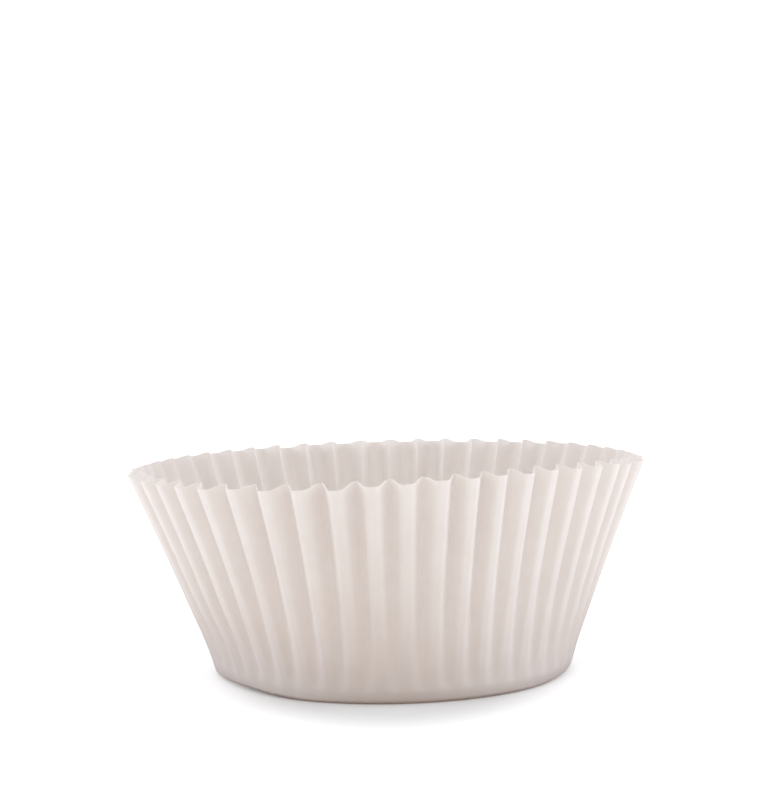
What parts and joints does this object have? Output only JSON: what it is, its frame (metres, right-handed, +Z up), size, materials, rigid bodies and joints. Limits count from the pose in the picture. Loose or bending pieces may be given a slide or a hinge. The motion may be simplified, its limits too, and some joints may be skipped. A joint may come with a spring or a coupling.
{
  "type": "cupcake liner",
  "caption": "Round pleated paper cup with a flat base and an outward-leaning fluted wall, open at the top, that lines a muffin pan and holds a cupcake.",
  "frame": {"origin": "centre of the base's underside, which is the surface the liner stands on", "axes": "+Z up along the cup's axis, towards the open rim; +X through the middle of a ridge"},
  "size_m": [0.0734, 0.0734, 0.0304],
  "materials": {
    "paper": "matt white greaseproof paper"
  },
  "bodies": {
    "root": {"liner": "paper"}
  },
  "joints": []
}
